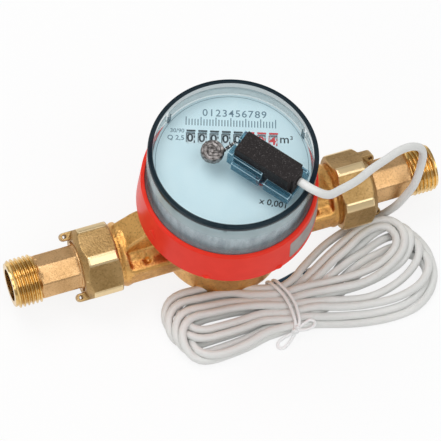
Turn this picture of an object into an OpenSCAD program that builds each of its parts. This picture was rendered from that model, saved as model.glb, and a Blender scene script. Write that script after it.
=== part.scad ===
// Single-jet dry-dial water meter with union fittings, a pulse sensor and its tied cable.
// Millimetres. X runs along the pipe towards the outlet, Z is up, the origin is on the base under the dial.

/* [Pipe run] */
// Height of the pipe axis above the base
axis_h = 18; // [17.5:0.1:22]
// Length of the brass body over its threaded spigots
body_len = 110; // [105:1:130]
// Outside diameter of the spigots that the nuts run on
spigot_d = 26.4; // [26:0.1:27.5]
// Length of each threaded spigot
spigot_len = 7.5; // [6:0.1:9]
// Outside diameter of the arms between bowl and spigots
arm_d = 22; // [20.5:0.1:23]
// Bore of the inlet and outlet channels
channel_d = 14; // [12:0.1:15]
// Bore of the jet between channel and chamber
jet_d = 8.4; // [6:0.1:9]
// Sideways offset of the jet from the pipe axis
jet_offset = 6; // [4:0.1:6.2]

/* [Body casting] */
// Outside diameter of the bowl
bowl_d = 53; // [51:0.5:56]
// Edge rounding under the bowl
bowl_round = 6; // [3:0.5:8]
// Bore of the measuring chamber
chamber_d = 43; // [41:0.5:44]
// Thickness of the bowl's floor
floor_t = 4.5; // [3.5:0.1:6]
// Height of the head flange above the pipe axis
head_rise = 23.7; // [22.5:0.1:27]
// Thickness of the head flange
head_t = 5.3; // [5:0.1:7]
// Diameter of the head flange
head_d = 67; // [66:0.1:67.6]
// Width of the raised shoulder over each arm
shoulder_w = 13; // [11:0.1:15]
// Sideways offset of the raised shoulder
shoulder_offset = 1.8; // [0:0.1:2.5]
// How far the front pad stands out from the pipe axis
pad_out = 13.5; // [12.5:0.1:14]
// Height of the front pad's face above the pipe axis
pad_rise = 7; // [5:0.1:8]

/* [Unions] */
// Width across flats of the union nuts
nut_flats = 30; // [29.5:0.1:32]
// Width across the cut corners of the nuts
nut_corners = 33; // [32.5:0.1:34]
// Length of each nut
nut_len = 16; // [15:0.1:18]
// Reach of the two sealing lugs past each nut's end
lug_reach = 4; // [3:0.1:5]
// Thickness of the flat gaskets
gasket_t = 2; // [1.5:0.1:3]
// Outside diameter of the tailpiece threads
tail_thread_d = 20.955; // [20:0.005:22]
// Length of the tailpiece threads
tail_thread_len = 12.7; // [11:0.1:15]
// Length from the body's end to the tailpiece's end
tail_reach = 40; // [37:0.5:50]
// Width across the eight flats of the tailpieces
tail_flats = 18.5; // [17.5:0.1:19.5]
// Bore of the tailpieces
tail_bore = 14; // [12:0.1:15]

/* [Collar] */
// Height of the collar
collar_h = 19; // [17:0.1:21]
// Thickness of the collar around the register's foot and the head flange
collar_wall = 2; // [1.8:0.1:4]
// How much narrower the collar is at the top
collar_taper = 2.2; // [1:0.1:2.6]
// Thickness of the collar's bottom lip
collar_lip = 2.4; // [2:0.1:3]

/* [Register] */
// Height of the register from its base to the rim
cover_h = 32.7; // [31:0.1:36]
// Outside diameter of the clear cover
cover_d = 70; // [69:0.1:70.4]
// Wall thickness of the clear cover
cover_wall = 2; // [1.6:0.1:2.4]
// Thickness of the clear window
window_t = 2.4; // [2:0.1:3]
// Depth of the dial below the rim
dial_depth = 8.5; // [7:0.1:9.5]
// Thickness of the dial plate
dial_t = 1; // [0.8:0.1:1.2]
// Turn of the dial against the pipe
dial_turn = -20; // [-30:1:-10]

/* [Counter] */
// Diameter of the number drums
drum_d = 15.2; // [14:0.1:15.6]
// Distance from drum to drum
drum_pitch = 4.85; // [4.6:0.01:5]
// Place of the drum row above the dial's centre
drum_row_y = 11.4; // [11:0.1:12]
// Module of the gear teeth
gear_module = 0.5; // [0.48:0.01:0.52]
// Thickness of the gears
gear_t = 1.5; // [1.2:0.1:1.6]

/* [Sensor] */
// Length of the pulse sensor
sensor_len = 27.6; // [25:0.1:27.8]
// Width of the pulse sensor
sensor_w = 10.2; // [9:0.1:11]
// Height of the pulse sensor
sensor_h = 10.8; // [9:0.1:13]
// Turn of the sensor against the dial
sensor_turn = -34; // [-45:1:-25]
// Diameter of the lead seal
seal_d = 9.8; // [8:0.1:10.5]
// Thickness of the lead seal
seal_t = 4; // [3:0.1:5]

/* [Cable] */
// Diameter of the cable
cable_d = 3.5; // [3:0.1:3.8]
// Height of the tied hank
hank_h = 9; // [7:0.5:10]

/* [Hidden] */
$fn = 96;

// Clearances: running fits, sliding gaps between bodies, and parts laid in a seat
run_gap = 0.05;
body_gap = 0.3;
seat_gap = 0.05;
eps = 0.01;

// Heights up the stack
flange_z = axis_h + head_rise;
head_top = flange_z + head_t;
ledge_z = flange_z + 2.5;
register_z = head_top + body_gap;
rim_top = register_z + cover_h;
rim_rise = 0.8;
window_top = rim_top - rim_rise;
dial_top = rim_top - dial_depth;
dial_under = dial_top - dial_t;
collar_z = flange_z - collar_lip;
collar_top = collar_z + collar_h;

// Body and chamber
bowl_r = bowl_d / 2;
chamber_r = chamber_d / 2;
body_end = body_len / 2;
spigot_x = body_end - spigot_len;
shoulder_ring_t = 2;
shoulder_ring_d = spigot_d + 1.6;
plate_r = bowl_r + 2.5;
seal_section = 1.9;
seal_ring_r = chamber_r + 3;
seal_groove_w = seal_section + 0.8;
pin_r = 0.8;
pin_top = floor_t + 3.5;
channel_end = bowl_r + 7;
strainer_len = 13;
strainer_wall = 0.9;
strainer_slot_w = 1.4;
strainer_slot_len = 4.2;
shoulder_top = collar_z - 0.4;
shoulder_slope = 0.73;
shoulder_flat = 9;
dimple_r = 1.3;

// Impeller
hub_r = 4;
impeller_z = floor_t + 2;
blade_z = axis_h - 9;
blade_h = 18;
blade_t = 1.2;
blade_count = 8;
impeller_r = chamber_r - 2;
magnet_r = 7;
magnet_h = 5;
magnet_z = ledge_z - 2.5 - magnet_h;
spindle_r = 1.2;
spindle_top = ledge_z + 1.2;

// Unions
nut_wall_x = body_end + gasket_t + 3.5 + body_gap;
nut_end = nut_wall_x + 4.7;
nut_start = nut_end - nut_len;
tail_end = body_end + tail_reach;
thread_x = tail_end - tail_thread_len;
sleeve_r = tail_thread_d / 2;
gasket_r = spigot_d / 2 - body_gap;
// A corner of the inlet nut and a flat of the outlet nut lie this far from upright, towards the front
nut_lean = 25.7;

// Collar and cover
cover_r = cover_d / 2;
foot_r = cover_r + 0.7;
foot_h = 2;
collar_bore = cover_r + body_gap;
head_seat_r = head_d / 2 + 0.2;
foot_seat_r = foot_r + body_gap;
collar_r = max(head_seat_r, foot_seat_r) + collar_wall;
collar_edge = 0.8;
collar_round = 1;
case_r = cover_r - cover_wall - body_gap;
case_wall = 1.2;
case_floor = register_z + 2;
dial_r = case_r - 0.3;
rim_w = 2.3;
rib_h = window_top - window_t - dial_top - body_gap;

// Counter: the drum row, its axles and the plate that carries them
drum_count = 8;
drum_r = drum_d / 2;
drum_w = drum_pitch - 0.35;
drum_z = dial_under - body_gap - drum_r;
drum_gear_w = 2.2;
row_end = drum_count * drum_pitch / 2;
gear_x = row_end + drum_gear_w / 2 + 0.3;
ear_t = 1.2;
ear_left = -row_end - 0.8 - ear_t;
ear_right = gear_x + drum_gear_w / 2 + 0.5;
axle_r = 1;
carry_r = 1.6;
carry_dir = 50;
carry_y = drum_row_y + (drum_r + carry_r + body_gap) * cos(carry_dir);
carry_z = drum_z - (drum_r + carry_r + body_gap) * sin(carry_dir);
plate_t = 1.2;
plate_z = dial_under - 1.3 - plate_t;
digit_w = 3.4;
digit_h = 5.6;

// Gear train, from the drums' worm back to the follower in the middle
pinion_teeth = 12;
wheel_teeth = 40;
last_teeth = 36;
drum_teeth = 20;
drum_gear_r = drum_r - 0.4;
worm_r = 3.4;
arbor_r = 0.8;
level_pitch = gear_t + 0.6;
wheel_gap = gear_module * (pinion_teeth + wheel_teeth) / 2;
last_gap = gear_module * (pinion_teeth + last_teeth) / 2;
last_dir = 43.65;
pulse_dir = 25;
worm_at = [gear_x, drum_row_y - drum_gear_r - worm_r - body_gap];
pulse_at = worm_at - last_gap * [cos(last_dir), sin(last_dir)];
two_at = pulse_at - wheel_gap * [cos(pulse_dir), sin(pulse_dir)];
one_at = two_at / 2 + sqrt(wheel_gap ^ 2 - norm(two_at) ^ 2 / 4) * [two_at[1], -two_at[0]] / norm(two_at);
level = [for (i = [0:3]) drum_z - drum_r - 0.6 - gear_t + i * level_pitch];
pointer_z = dial_top + 0.8;
arbor_z = register_z + 1.1;
arbor_top = plate_z + plate_t;

// Sensor, cradle and seal, on the window
sensor_at = [14.07, -7.59];
cradle_floor = 1;
rail_t = 1.3;
ledge_w = 1.7;
rail_h = 7;
end_wall_t = 2.3;
gland_r = cable_d / 2 + 0.9;
gland_len = 0.5;
rail_past = 0.9;
gland_z = window_top + cradle_floor + sensor_h - gland_r - 1.4;
sensor_end = sensor_len / 2;
seal_at = [-8.6, -0.5];
wire_d = 1.4;

// Cable: the way from the sensor over the outlet to the hank, and the hank's outline
lead_start = sensor_out(sensor_end + gland_len + body_gap);
lead_in = sensor_out(sensor_end + gland_len + body_gap + 6);
lead_points = [lead_start, lead_in, [29, -31, 82.8], [36.5, -28, 78], [46, -23.6, 73], [55, -18, 68],
    [63, -13.8, 64], [71.5, -9.5, 60], [79, -6.8, 55], [83.2, -6.4, 51], [85, -7.1, 46], [84.2, -9, 39],
    [81.3, -12, 30], [77.6, -12.5, 21.5], [75, -12.3, 15.5], [72.6, -11, 9.5], [69.8, -9.8, 4.6],
    [65, -9.6, 2.2], [59, -10.2, 2], [53, -11.2, 2], [46, -13.4, 2], [40, -16, 2], [34, -19.6, 2],
    [29, -23.8, 2.2], [25, -27.5, 2.6]];
lead_sides = 8;
lead_steps = 3;
hank_left = [-18, -41.5];
hank_left_r = 16.5;
hank_right = [60, -38.8];
hank_right_r = 22.5;
hank_waist_x = 16;
hank_waist_y = [-54, -28.5];
tie_w = 3;
tie_t = 0.8;

function sensor_out(u) = let (a = dial_turn, s = dial_turn + sensor_turn)
    [sensor_at[0] * cos(a) - sensor_at[1] * sin(a) + u * cos(s),
     sensor_at[0] * sin(a) + sensor_at[1] * cos(a) + u * sin(s), gland_z];
function polar(r, a) = [r * cos(a), r * sin(a)];
function arc(c, r, a0, a1, n = 6) = [for (i = [0:n]) c + polar(r, a0 + (a1 - a0) * i / n)];
function heading(a, b) = atan2(b[1] - a[1], b[0] - a[0]);

// Points along a smooth curve through a list of points, and rings of a tube around them
function bend(p, i, t) = let (a = p[max(i - 1, 0)], b = p[i], c = p[i + 1], d = p[min(i + 2, len(p) - 1)])
    b + t * (c - a) / 2 + t ^ 2 * (a - 2.5 * b + 2 * c - d / 2) + t ^ 3 * (1.5 * (b - c) + (d - a) / 2);
function curve(p, n) = [for (i = [0:len(p) - 2], k = [0:n - 1]) bend(p, i, k / n), p[len(p) - 1]];
function unit(v) = v / norm(v);
function ring(c, dir, r, n) = let (side = unit(cross(dir, [0, 0, 1])), up = cross(side, dir))
    [for (k = [0:n - 1]) c + r * (cos(360 * k / n) * side + sin(360 * k / n) * up)];

module tube(points, d, n) {
    last = len(points) - 1;
    rings = [for (i = [0:last]) let (way = points[min(i + 1, last)] - points[max(i - 1, 0)])
        each ring(points[i], unit(way), d / 2, n)];
    walls = [for (i = [0:last - 1], k = [0:n - 1])
        let (a = i * n + k, b = i * n + (k + 1) % n) each [[a, b, b + n], [a, b + n, a + n]]];
    ends = [[for (k = [n - 1:-1:0]) k], [for (k = [0:n - 1]) last * n + k]];
    polyhedron(rings, concat(walls, ends));
}

module rod_x(d, x0, x1) translate([x0, 0, axis_h]) rotate([0, 90, 0]) cylinder(d = d, h = x1 - x0);
module across_x(x0, x1) translate([x0, 0, 0]) rotate([90, 0, 90]) linear_extrude(x1 - x0) children();
module across_y(w) rotate([90, 0, 0]) linear_extrude(w, center = true) children();
module hollow(d, bore, h) difference() {
    cylinder(d = d, h = h);
    translate([0, 0, -eps]) cylinder(d = bore, h = h + 2 * eps);
}
module outlet_side(inlet) mirror([inlet ? 1 : 0, 0, 0]) children();
module on_dial(at = [0, 0], z = 0) rotate([0, 0, dial_turn]) translate([at[0], at[1], z]) children();
module on_sensor(z = 0) on_dial(sensor_at, z) rotate([0, 0, sensor_turn]) children();
module box(x, y, z) translate([x[0], y[0], z[0]]) cube([x[1] - x[0], y[1] - y[0], z[1] - z[0]]);

// Brass casting: a round bowl with two arms, each with a raised shoulder, a flat pad and a threaded spigot
module bowl() rotate_extrude() polygon(concat([[0, 0]],
    arc([bowl_r - bowl_round, bowl_round], bowl_round, -90, 0),
    [[bowl_r, flange_z], [head_d / 2, flange_z], [head_d / 2, head_top], [0, head_top]]));

module shoulder() {
    foot = shoulder_top - axis_h - arm_d / 2;
    intersection() {
        across_y(arm_d + shoulder_w) polygon([[chamber_r, axis_h], [chamber_r, shoulder_top],
            [bowl_r + shoulder_flat, shoulder_top],
            [bowl_r + shoulder_flat + foot / shoulder_slope, shoulder_top - foot], [spigot_x, axis_h]]);
        across_x(chamber_r, spigot_x) translate([shoulder_offset, 0]) polygon(concat(
            [[shoulder_w / 2 + 1.5, axis_h]],
            arc([shoulder_w / 2 - 3, shoulder_top - 3], 3, 0, 90, 4),
            arc([3 - shoulder_w / 2, shoulder_top - 3], 3, 90, 180, 4), [[-shoulder_w / 2 - 1.5, axis_h]]));
    }
}

module pad() across_x(bowl_r - 3, spigot_x - shoulder_ring_t) polygon([[0, axis_h - 6],
    [-pad_out + 2, axis_h - 6], [-pad_out, axis_h - 3], [-pad_out, axis_h + pad_rise - 1.2],
    [-pad_out + 1.2, axis_h + pad_rise], [0, axis_h + pad_rise]]);

module arm() {
    rod_x(arm_d, bowl_r - 4, spigot_x + 1);
    rod_x(shoulder_ring_d, spigot_x - shoulder_ring_t, spigot_x);
    rod_x(spigot_d, spigot_x - eps, body_end);
    shoulder();
    pad();
}

module water_way() {
    rod_x(channel_d, channel_end, body_end + eps);
    translate([0, jet_offset, 0]) rod_x(jet_d, chamber_r / 2, channel_end + eps);
    translate([bowl_r + 11, -pad_out + 4, axis_h + pad_rise - 1.6]) cylinder(r = dimple_r, h = 3);
}

module meter_body() color("goldenrod") difference() {
    union() {
        bowl();
        arm();
        mirror([1, 0, 0]) arm();
    }
    translate([0, 0, floor_t]) cylinder(r = chamber_r, h = head_top);
    translate([0, 0, ledge_z]) cylinder(r = plate_r + seat_gap, h = head_t);
    translate([0, 0, ledge_z - seal_section - seat_gap])
        hollow(2 * seal_ring_r + seal_groove_w, 2 * seal_ring_r - seal_groove_w, seal_section + 1);
    translate([0, 0, 2]) cylinder(r = pin_r + seat_gap / 2, h = floor_t);
    water_way();
    mirror([1, 0, 0]) water_way();
}

// Moulded basket with slots all round, pushed into the inlet
module inlet_strainer() {
    outer = channel_d / 2 - seat_gap;
    inner = outer - strainer_wall;
    end_x = body_end - strainer_len;
    slot = [-strainer_slot_len / 2, strainer_slot_len / 2];
    color("ivory") mirror([1, 0, 0]) difference() {
        rod_x(2 * outer, end_x, body_end - seat_gap);
        rod_x(2 * inner, end_x + strainer_wall, body_end);
        for (i = [1:4], a = [45, 135])
            translate([end_x + i * 2 * strainer_slot_w, 0, axis_h]) rotate([a, 0, 0])
                box([-strainer_slot_w / 2, strainer_slot_w / 2], [-channel_d, channel_d], slot);
        for (i = [-1:1]) translate([end_x, i * 2 * strainer_slot_w, axis_h])
            box([-1, strainer_wall + 1], [-strainer_slot_w / 2, strainer_slot_w / 2], 2 * slot);
    }
}

module pivot_pin() color("silver") translate([0, 0, 2 + seat_gap]) union() {
    cylinder(r = pin_r, h = pin_top - 2 - seat_gap - pin_r);
    translate([0, 0, pin_top - 2 - seat_gap - pin_r]) cylinder(r1 = pin_r, r2 = 0.2, h = pin_r);
}

// Bladed wheel: a hub with straight blades, a socket for the lower pivot and a spindle at the top
module impeller() color("whitesmoke") difference() {
    union() {
        translate([0, 0, impeller_z]) cylinder(r = hub_r, h = magnet_z - impeller_z);
        translate([0, 0, magnet_z - eps]) cylinder(r = hub_r - 1, h = magnet_h + eps);
        translate([0, 0, magnet_z]) cylinder(r = spindle_r, h = spindle_top - magnet_z);
        for (i = [0:blade_count - 1]) rotate([0, 0, 360 * i / blade_count])
            box([hub_r - 0.5, impeller_r], [-blade_t / 2, blade_t / 2], [blade_z, blade_z + blade_h]);
    }
    translate([0, 0, impeller_z - 1]) cylinder(r = pin_r + run_gap, h = pin_top + body_gap - impeller_z + 1);
}

module drive_magnet() color("dimgray") translate([0, 0, magnet_z + seat_gap])
    hollow(2 * magnet_r, 2 * (hub_r - 1 + seat_gap), magnet_h - seat_gap);

// Pressure plate that closes the chamber, with the impeller's top bearing in its underside
module chamber_cover() color("burlywood") difference() {
    union() {
        translate([0, 0, ledge_z]) cylinder(r = plate_r, h = head_top - ledge_z);
        translate([0, 0, ledge_z - 1.5]) cylinder(r = 3.2, h = 2);
    }
    translate([0, 0, ledge_z - 2])
        cylinder(r = spindle_r + run_gap, h = spindle_top + body_gap - ledge_z + 2);
}

module cover_seal() color("black") translate([0, 0, ledge_z - (seal_section + seat_gap) / 2])
    rotate_extrude() translate([seal_ring_r, 0]) circle(d = seal_section, $fn = 24);

module gasket(inlet) color("black") outlet_side(inlet) difference() {
    rod_x(2 * gasket_r, body_end, body_end + gasket_t);
    rod_x(channel_d + 2, body_end - 1, body_end + gasket_t + 1);
}
module inlet_gasket() gasket(true);
module outlet_gasket() gasket(false);

// Tailpiece: a flanged sleeve, an eight-sided stretch and a threaded end
module tailpiece(inlet) color("goldenrod") outlet_side(inlet) difference() {
    union() {
        rod_x(2 * (spigot_d / 2 - 1.2), body_end + gasket_t, body_end + gasket_t + 3.5);
        rod_x(2 * sleeve_r, body_end + gasket_t + 3, nut_end + 0.5);
        translate([nut_end, 0, axis_h]) rotate([0, 90, 0]) rotate([0, 0, 22.5 + nut_lean])
            cylinder(d = tail_flats / cos(22.5), h = thread_x - nut_end + 0.5, $fn = 8);
        rod_x(2 * sleeve_r - 2.2, thread_x - 1, thread_x + 1.5);
        rod_x(tail_thread_d, thread_x + 1.2, tail_end - 1);
        translate([tail_end - 1 - eps, 0, axis_h]) rotate([0, 90, 0])
            cylinder(d1 = tail_thread_d, d2 = tail_thread_d - 2, h = 1 + eps);
    }
    rod_x(tail_bore, body_end, tail_end + 1);
}
module inlet_tailpiece() tailpiece(true);
module outlet_tailpiece() tailpiece(false);

// Union nut: a hexagon with cut corners and turned ends, and two drilled lugs for a sealing wire
module nut(inlet, turn) {
    inner_r = spigot_d / 2 + run_gap;
    hole_r = sleeve_r + body_gap;
    corner_r = nut_corners / 2 + 0.2;
    lug_in = hole_r + 0.6;
    lug_r = (nut_flats / 2 - lug_in) / 2;
    lug_mid = nut_end + lug_reach - lug_r;
    color("darkgoldenrod") outlet_side(inlet) translate([0, 0, axis_h]) rotate([0, 90, 0]) difference() {
        union() {
            intersection() {
                translate([0, 0, nut_start]) rotate([0, 0, turn])
                    cylinder(d = nut_flats / cos(30), h = nut_len, $fn = 6);
                translate([0, 0, nut_start]) rotate([0, 0, turn + 30])
                    cylinder(d = nut_corners / cos(30), h = nut_len, $fn = 6);
                rotate_extrude() polygon([[0, nut_start], [corner_r - 1.6, nut_start],
                    [corner_r, nut_start + 1.2], [corner_r, nut_end - 3], [corner_r - 3.4, nut_end],
                    [0, nut_end]]);
            }
            for (a = [0, 180]) rotate([0, 0, turn + 90 + a]) {
                box([lug_in, nut_flats / 2], [-2.6, 2.6], [nut_end - 3.5, lug_mid]);
                translate([lug_in + lug_r, 0, lug_mid]) rotate([90, 0, 0])
                    cylinder(r = lug_r, h = 5.2, center = true);
            }
        }
        translate([0, 0, nut_start - 1]) cylinder(r = inner_r, h = nut_wall_x - nut_start + 1);
        translate([0, 0, nut_wall_x - 1]) cylinder(r = hole_r, h = nut_end);
        for (a = [0, 180]) rotate([0, 0, turn + 90 + a]) translate([lug_in + lug_r, 0, lug_mid])
            rotate([90, 0, 0]) cylinder(r = 0.8, h = 6, center = true);
    }
}
module inlet_nut() nut(true, nut_lean);
module outlet_nut() nut(false, nut_lean + 30);

// Snap collar: a lip under the head flange, a taper outside and a bore that keeps the register down
module collar() {
    round_at = [collar_r - collar_taper / 2 - collar_round, collar_top - collar_round];
    foot_top = register_z + foot_h + body_gap;
    lip_r = bowl_r + 0.5;
    color("red") rotate_extrude() polygon(concat(
        [[lip_r, collar_z], [collar_r - collar_edge, collar_z], [collar_r, collar_z + collar_edge]],
        arc(round_at, collar_round, 0, 90, 4),
        [[collar_bore, collar_top], [collar_bore, foot_top],
         [foot_seat_r, foot_top], [foot_seat_r, head_top],
        [head_seat_r, head_top], [head_seat_r, flange_z], [lip_r, flange_z]]));
}

// Clear cover: a cup upside down with a raised rim, a foot under the collar and three ribs over the dial
module clear_cover() color("lightblue", 0.4) {
    bore = cover_r - cover_wall;
    rotate_extrude() polygon(concat([[foot_r, register_z], [foot_r, register_z + foot_h],
        [cover_r, register_z + foot_h]],
        arc([cover_r - 0.5, rim_top - 0.5], 0.5, 0, 90, 3),
        [[cover_r - rim_w, rim_top], [cover_r - rim_w - 0.4, window_top], [0, window_top],
        [0, window_top - window_t], [bore, window_top - window_t], [bore, register_z]]));
    for (a = [25, 145, 265]) rotate([0, 0, dial_turn + a])
        box([bore - 1.4, bore + 0.4], [-0.9, 0.9], [dial_top + body_gap, window_top - window_t + eps]);
}

// Movement case: an open cup that carries the train's lower bearings and the dial on its edge
module bearing(at, z0, z1) on_dial(at, z0) hollow(2 * arbor_r + 2.4, 2 * (arbor_r + run_gap), z1 - z0);
module movement_case() color("gainsboro") difference() {
    union() {
        translate([0, 0, register_z]) hollow(2 * case_r, 2 * (case_r - case_wall), dial_under - register_z);
        translate([0, 0, register_z]) cylinder(r = case_r - case_wall + eps, h = case_floor - register_z);
        for (at = [one_at, two_at, pulse_at, worm_at]) on_dial(at, case_floor - eps)
            cylinder(r = arbor_r + 1.2, h = 1);
    }
    for (at = [[0, 0], one_at, two_at, pulse_at, worm_at]) on_dial(at, register_z + 0.8)
        cylinder(r = arbor_r + run_gap, h = 4, $fn = 32);
}

// Upper plate on three pillars, cut out round the drums, with two ears that hold the axles
module ear(x) on_dial() across_x(x, x + ear_t) difference() {
    polygon([[drum_row_y - 3, plate_z + eps], [drum_row_y - 3, drum_z], [drum_row_y - 2, drum_z - 3],
        [carry_y - 1, carry_z - 2.6], [carry_y + 2.2, carry_z - 2.6], [carry_y + 2.2, plate_z + eps]]);
    translate([drum_row_y, drum_z]) circle(r = axle_r + seat_gap / 2, $fn = 32);
    translate([carry_y, carry_z]) circle(r = axle_r * 0.6 + seat_gap / 2, $fn = 32);
}
module movement_plate() color("silver") {
    plate_out = case_r - case_wall - body_gap;
    difference() {
        translate([0, 0, plate_z]) cylinder(r = plate_out, h = plate_t);
        on_dial() box([ear_left + ear_t - eps, ear_right + eps],
            [worm_at[1] + worm_r + eps, drum_row_y + drum_r + 0.6], [plate_z - 1, plate_z + 2]);
        for (at = [[0, 0], one_at, two_at, pulse_at, worm_at]) on_dial(at, plate_z - 1)
            cylinder(r = arbor_r + run_gap, h = 4, $fn = 32);
    }
    ear(ear_left);
    ear(ear_right);
    for (a = [170, 215, 300]) rotate([0, 0, dial_turn + a]) translate([plate_out - 2.2, 0, case_floor])
        cylinder(r = 1.6, h = plate_z - case_floor + eps, $fn = 32);
}

module dial_plate() color("aliceblue") difference() {
    translate([0, 0, dial_under]) cylinder(r = dial_r, h = dial_t);
    for (i = [0:drum_count - 1]) on_dial([(i - (drum_count - 1) / 2) * drum_pitch, drum_row_y], dial_under)
        translate([-digit_w / 2, -digit_h / 2, -1]) cube([digit_w, digit_h, dial_t + 2]);
    on_dial(pulse_at, dial_under - 1) cylinder(r = arbor_r + body_gap, h = dial_t + 2, $fn = 32);
}

// Number drums on a steel axle; the last one carries the worm wheel
module row_x(x) on_dial([x, drum_row_y], drum_z) rotate([0, 90, 0]) children();
module drum_axle() color("silver") row_x(ear_left)
    cylinder(r = axle_r, h = ear_right + ear_t - ear_left, $fn = 48);
module drum(i) {
    x = (i - 1 - (drum_count - 1) / 2) * drum_pitch - drum_w / 2;
    last = i == drum_count;
    color("whitesmoke") row_x(x) difference() {
        union() {
            hollow(drum_d, drum_d - 2.4, drum_w);
            translate([0, 0, drum_w / 2 - 0.6]) cylinder(r = drum_r - 0.5, h = 1.2);
            cylinder(r = 2.6, h = drum_w, $fn = 48);
            if (last) cylinder(r = 2.6, h = gear_x - x, $fn = 48);
            if (last) translate([0, 0, gear_x - drum_gear_w / 2 - x]) linear_extrude(drum_gear_w)
                cog(drum_teeth, 2 * (drum_gear_r - 0.4) / drum_teeth, 0);
        }
        translate([0, 0, -1]) cylinder(r = axle_r + run_gap, h = drum_pitch + drum_gear_w + 6, $fn = 48);
    }
}
module carry_axle() color("silver") on_dial([ear_left, carry_y], carry_z) rotate([0, 90, 0])
    cylinder(r = axle_r * 0.6, h = ear_right + ear_t - ear_left, $fn = 32);
module carry_pinions() color("whitesmoke") for (i = [1:drum_count - 1])
    on_dial([(i - drum_count / 2) * drum_pitch - drum_w / 2, carry_y], carry_z) rotate([0, 90, 0])
        linear_extrude(drum_w) difference() {
            cog(8, 2 * (carry_r - 0.35) / 8, 0, 0.35);
            circle(r = axle_r * 0.6 + run_gap, $fn = 32);
        }

// Spur gears with straight-sided teeth, one tooth centred on the given direction
module cog(teeth, module_size, dir, tip = 0) {
    r = teeth * module_size / 2;
    rise = tip > 0 ? tip : 0.8 * module_size;
    polygon([for (i = [0:teeth - 1], p = [[-0.21, -1.15 * module_size], [-0.1, rise], [0.1, rise],
        [0.21, -1.15 * module_size]]) polar(r + p[1], dir + (i + p[0]) * 360 / teeth)]);
}
module gear(teeth, dir, z) translate([0, 0, z]) linear_extrude(gear_t) cog(teeth, gear_module, dir);
module arbor(z0, z1) translate([0, 0, z0]) cylinder(r = arbor_r, h = z1 - z0, $fn = 32);

// Follower: the magnet that the impeller turns through the plate, and the first pinion
module follower() color("dimgray") on_dial() {
    translate([0, 0, case_floor + 0.5]) cylinder(r = magnet_r + 1, h = 2.8);
    gear(pinion_teeth, heading([0, 0], one_at), level[3]);
    arbor(arbor_z, arbor_top);
}
module train_wheel(at, back, next, teeth, z, pinion_z, top) on_dial(at) {
    gear(teeth, heading(at, back) + 180 / teeth, z);
    gear(pinion_teeth, heading(at, next), pinion_z);
    arbor(arbor_z, top);
}
module wheel_one() color("white")
    train_wheel(one_at, [0, 0], two_at, wheel_teeth, level[3], level[2], arbor_top);
module wheel_two() color("white")
    train_wheel(two_at, one_at, pulse_at, wheel_teeth, level[2], level[1], arbor_top);
module pulse_wheel() color("white")
    train_wheel(pulse_at, two_at, worm_at, wheel_teeth, level[1], level[0], pointer_z + 1.6);
module drum_worm() color("white") on_dial(worm_at) {
    worm_z = drum_z - drum_gear_r / 2;
    gear(last_teeth, heading(worm_at, pulse_at) + 180 / last_teeth, level[0]);
    arbor(arbor_z, arbor_top);
    translate([0, 0, worm_z]) rotate_extrude($fn = 48) polygon(concat([[0, 0]],
        [for (i = [0:4]) each [[worm_r - 0.8, i * 1.6], [worm_r, i * 1.6 + 0.6], [worm_r, i * 1.6 + 1],
        [worm_r - 0.8, i * 1.6 + 1.59]]], [[0, 8]]));
}

// Pulse pointer: a disc with an arrow nose, on the wheel's arbor over the dial
module pulse_pointer() color("firebrick") on_dial(pulse_at, pointer_z) difference() {
    union() {
        cylinder(r = 2.6, h = 1.6);
        linear_extrude(1) polygon([[-1.6, 0], [0, 5.4], [1.6, 0]]);
    }
    translate([0, 0, -1]) cylinder(r = arbor_r + seat_gap / 2, h = 4, $fn = 32);
}

// Clear cradle on the window: a floor, side rails with ledges, and a slotted end wall for the sealing wire
module rail(u0, u1, tall = true) {
    inner = sensor_w / 2 + seat_gap;
    if (tall) box([u0, u1], [-inner - rail_t, -inner], [0, rail_h]);
    ledge_in = tall ? inner + rail_t - eps : inner;
    box([tall ? u0 + 0.8 : u0, u1], [-inner - rail_t - ledge_w, -ledge_in], [0, rail_h - 2.6]);
}
module sensor_cradle() color("steelblue", 0.5) on_sensor(window_top) {
    half = sensor_w / 2 + seat_gap + rail_t;
    wall_u = -sensor_end - seat_gap - end_wall_t;
    far_u = sensor_end + rail_past;
    box([wall_u, far_u], [-half, half], [0, cradle_floor]);
    rail(-sensor_end, 0.5);
    rail(2.7, far_u, false);
    mirror([0, 1, 0]) rail(-sensor_end, far_u);
    for (m = [0, 1]) mirror([0, m, 0]) box([wall_u, wall_u + end_wall_t], [1.5, half], [0, rail_h + 1]);
}

module pulse_sensor() color("black") on_sensor(window_top + cradle_floor) {
    difference() {
        box([-sensor_end, sensor_end], [-sensor_w / 2, sensor_w / 2], [0, sensor_h]);
        box([sensor_end - 1.4, sensor_end + 1], [-sensor_w, -sensor_w / 2 + 1.6], [1, sensor_h + 1]);
        box([sensor_end - 1.4, sensor_end + 1], [sensor_w / 2 - 1.6, sensor_w], [1, sensor_h + 1]);
    }
    translate([sensor_end - eps, 0, gland_z - window_top - cradle_floor]) rotate([0, 90, 0])
        cylinder(r1 = gland_r, r2 = gland_r - 0.5, h = gland_len + eps);
}

// Pressed lead seal with a rounded edge and a stamped hollow, and the wire that ties it to the cradle
module lead_seal() color("slategray") on_dial(seal_at, window_top) rotate_extrude() polygon(concat([[0, 0]],
    arc([seal_d / 2 - 1, 1], 1, -90, 0, 4), arc([seal_d / 2 - 1, seal_t - 1], 1, 0, 90, 4),
    [[seal_d / 2 - 1.8, seal_t - 0.4], [0, seal_t - 0.4]]));
module seal_wire() {
    slot_at = sensor_at - (sensor_end + seat_gap + end_wall_t) * [cos(sensor_turn), sin(sensor_turn)];
    way = slot_at - seal_at;
    start = seal_d / 2 + seat_gap;
    length = norm(way) + end_wall_t / 2 - start;
    color("gray") on_dial(seal_at, window_top + seal_t / 2) rotate([0, 0, heading(seal_at, slot_at)])
        rotate([0, 90, 0]) translate([0, 0, start]) cylinder(d = wire_d, h = length);
}

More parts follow.
